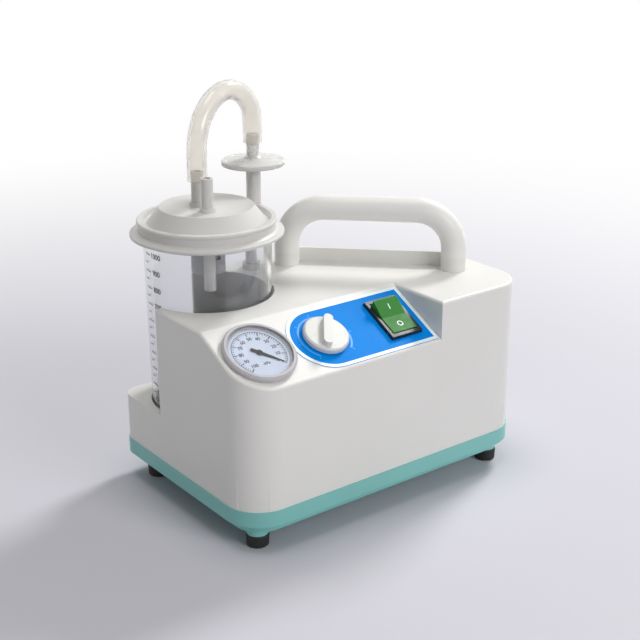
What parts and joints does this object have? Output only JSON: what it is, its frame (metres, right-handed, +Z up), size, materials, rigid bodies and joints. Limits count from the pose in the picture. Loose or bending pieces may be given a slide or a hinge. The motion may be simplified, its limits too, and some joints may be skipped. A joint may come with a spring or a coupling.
{
  "type": "portable suction unit",
  "caption": "Bench suction aspirator with a clear collection jar, float-valve lid, hose arch, bacterial filter, vacuum gauge, regulator knob, rocker switch and carry handle.",
  "frame": {"origin": "on the bench, under the middle of the outline of case and lid", "axes": "+X right along the front, +Y towards the back, +Z up"},
  "size_m": [0.2834, 0.1954, 0.325],
  "materials": {
    "aluminium": "die cast",
    "black_rubber": "matt",
    "brass": "machined",
    "cage": "frosted",
    "case": "satin moulded plastic",
    "dial": "matt print",
    "filter_shell": "milky plastic",
    "float_plastic": "satin",
    "foot_rubber": "matt",
    "gauge_grey": "satin",
    "gauge_lens": "clear",
    "handle": "satin moulded plastic",
    "hose": "milky silicone",
    "jar_clear": "clear moulded plastic",
    "knob": "gloss",
    "label": "printed film",
    "lamination": "laminated steel",
    "lid": "satin moulded plastic",
    "membrane": "matt",
    "needle": "matt black",
    "pump_plastic": "satin",
    "rocker_green": "gloss translucent",
    "seal": "matt",
    "steel": "zinc plated",
    "switch_black": "satin",
    "tray": "satin moulded plastic"
  },
  "bodies": {
    "unit": {"base_tray": "tray", "carry_handle": "handle", "case_screws": "steel", "control_label": "label", "crankcase": "aluminium", "exhaust_hose": "seal", "exhaust_muffler": "filter_shell", "fuse_holder": "pump_plastic", "gauge_bezel": "gauge_grey", "gauge_case": "gauge_grey", "gauge_dial": "dial", "gauge_hose": "seal", "gauge_lens": "gauge_lens", "gauge_movement": "brass", "gauge_stem": "brass", "handle_screws": "steel", "head_screws": "steel", "inlet_hose": "seal", "inlet_nut": "pump_plastic", "inlet_pins": "brass", "inlet_screws": "steel", "mains_inlet": "pump_plastic", "motor_housing": "aluminium", "motor_stator": "lamination", "pressure_tube": "brass", "pump_bracket": "steel", "pump_cover": "pump_plastic", "pump_diaphragm": "black_rubber", "pump_rod": "aluminium", "regulator_hose": "seal", "regulator_nut": "brass", "regulator_valve": "brass", "rubber_feet": "foot_rubber", "rubber_mounts": "black_rubber", "shaft_bearings": "steel", "suction_inlet": "filter_shell", "switch_body": "switch_black", "switch_terminals": "brass", "upper_case": "case", "valve_plate": "aluminium"},
    "jar": {"collection_jar": "jar_clear"},
    "lid": {"jar_lid": "lid", "lid_seal": "seal", "float_cage": "cage", "suction_hose": "hose", "filter_upper": "filter_shell", "filter_lower": "filter_shell", "filter_membrane": "membrane", "filter_pipe": "filter_shell"},
    "float": {"valve_float": "float_plastic", "float_disc": "black_rubber"},
    "regulator": {"regulator_knob": "knob", "valve_spindle": "brass"},
    "needle": {"gauge_needle": "needle"},
    "sector": {"gauge_sector": "brass"},
    "rocker": {"power_rocker": "rocker_green"},
    "rotor": {"motor_shaft": "steel", "eccentric": "brass", "cooling_fan": "pump_plastic"}
  },
  "joints": [
    {"name": "jar_lift", "type": "slide", "parent": "unit", "child": "jar", "axis": [0, 0, 1], "range_m": [0, 0.05]},
    {"name": "lid_lift", "type": "slide", "parent": "jar", "child": "lid", "axis": [0, 0, 1], "range_m": [0, 0.09]},
    {"name": "float_rise", "type": "slide", "parent": "lid", "child": "float", "axis": [0, 0, 1], "range_m": [0, 0.012]},
    {"name": "regulator_turn", "type": "hinge", "parent": "unit", "child": "regulator", "pos_m": [-0.0463, -0.0678, 0.14744], "axis": [0, -0.4588, 0.8885], "range_deg": [-45, 225]},
    {"name": "needle_turn", "type": "hinge", "parent": "unit", "child": "needle", "pos_m": [-0.1058, -0.06647, 0.14813], "axis": [0, -0.4588, 0.8885], "range_deg": [0, 270]},
    {"name": "rocker_tip", "type": "hinge", "parent": "unit", "child": "rocker", "pos_m": [0.0202, -0.06849, 0.14877], "axis": [1, 0, 0], "range_deg": [-18, 0]},
    {"name": "motor_turn", "type": "hinge", "parent": "unit", "child": "rotor", "pos_m": [0.0257, 0.0113, 0.0821], "axis": [1, 0, 0], "continuous": true},
    {"name": "sector_turn", "type": "hinge", "parent": "unit", "child": "sector", "pos_m": [-0.1058, -0.05253, 0.15532], "axis": [0, -0.4588, 0.8885], "range_deg": [-32.4, 0]}
  ],
  "couplings": [
    {"joint": "needle_turn", "follows": "sector_turn", "ratio": -8.3333}
  ]
}
